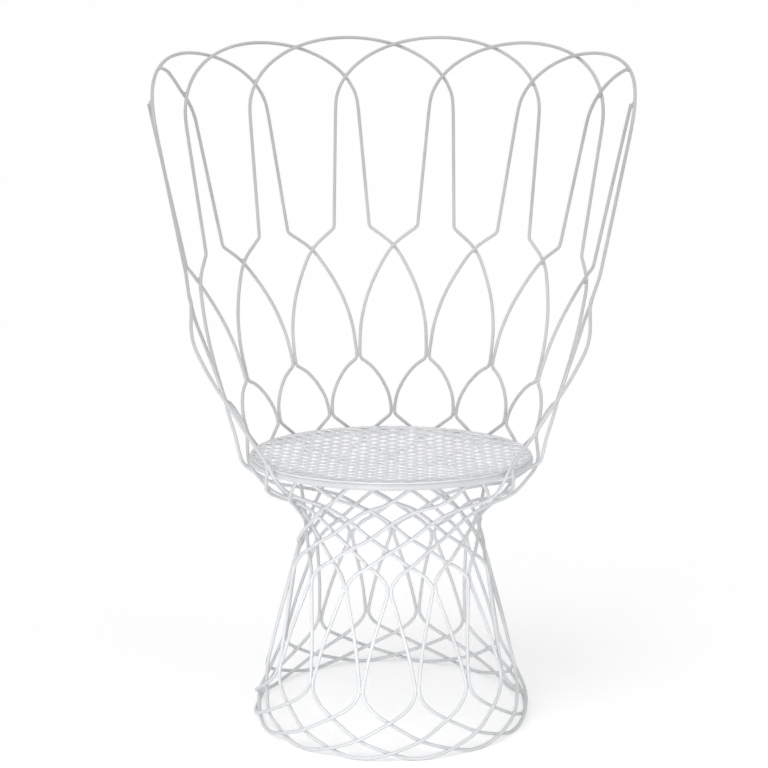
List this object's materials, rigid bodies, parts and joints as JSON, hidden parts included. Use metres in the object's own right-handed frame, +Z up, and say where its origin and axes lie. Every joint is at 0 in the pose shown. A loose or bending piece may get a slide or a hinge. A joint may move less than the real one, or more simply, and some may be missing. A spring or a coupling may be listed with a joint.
{
  "type": "garden armchair",
  "caption": "High-backed tub armchair of welded white wire rod: scalloped lattice back and arms, round mesh seat, narrow waist and a looped skirt base.",
  "frame": {"origin": "on the floor, on the vertical axis of the base, under the middle of the seat", "axes": "+Z up, the sitter faces -Y, +X to the right as seen from the front"},
  "size_m": [0.7527, 0.6087, 1.0583],
  "materials": {
    "white_rod": "satin white paint",
    "white_rim": "satin white paint",
    "white_mesh": "satin white paint"
  },
  "bodies": {
    "root": {"back_arch_rod_1": "white_rod", "back_arch_rod_2": "white_rod", "back_arch_rod_3": "white_rod", "back_arch_rod_4": "white_rod", "back_arch_rod_5": "white_rod", "back_arch_rod_6": "white_rod", "side_inner_rod_left": "white_rod", "side_outer_rod_left": "white_rod", "side_inner_rod_right": "white_rod", "side_outer_rod_right": "white_rod", "arm_edge_rod_left": "white_rod", "arm_edge_rod_right": "white_rod", "front_bowl_rod_1": "white_rod", "front_bowl_rod_2": "white_rod", "front_bowl_rod_3": "white_rod", "front_bowl_rod_4": "white_rod", "front_single_rod_left": "white_rod", "front_single_rod_right": "white_rod", "foot_loop_rod_01": "white_rod", "foot_loop_rod_02": "white_rod", "foot_loop_rod_03": "white_rod", "foot_loop_rod_04": "white_rod", "foot_loop_rod_05": "white_rod", "foot_loop_rod_06": "white_rod", "foot_loop_rod_07": "white_rod", "foot_loop_rod_08": "white_rod", "foot_loop_rod_09": "white_rod", "foot_loop_rod_10": "white_rod", "foot_loop_rod_11": "white_rod", "foot_loop_rod_12": "white_rod", "foot_loop_rod_13": "white_rod", "foot_loop_rod_14": "white_rod", "seat_rim": "white_rim", "seat_mesh": "white_mesh"}
  },
  "joints": []
}
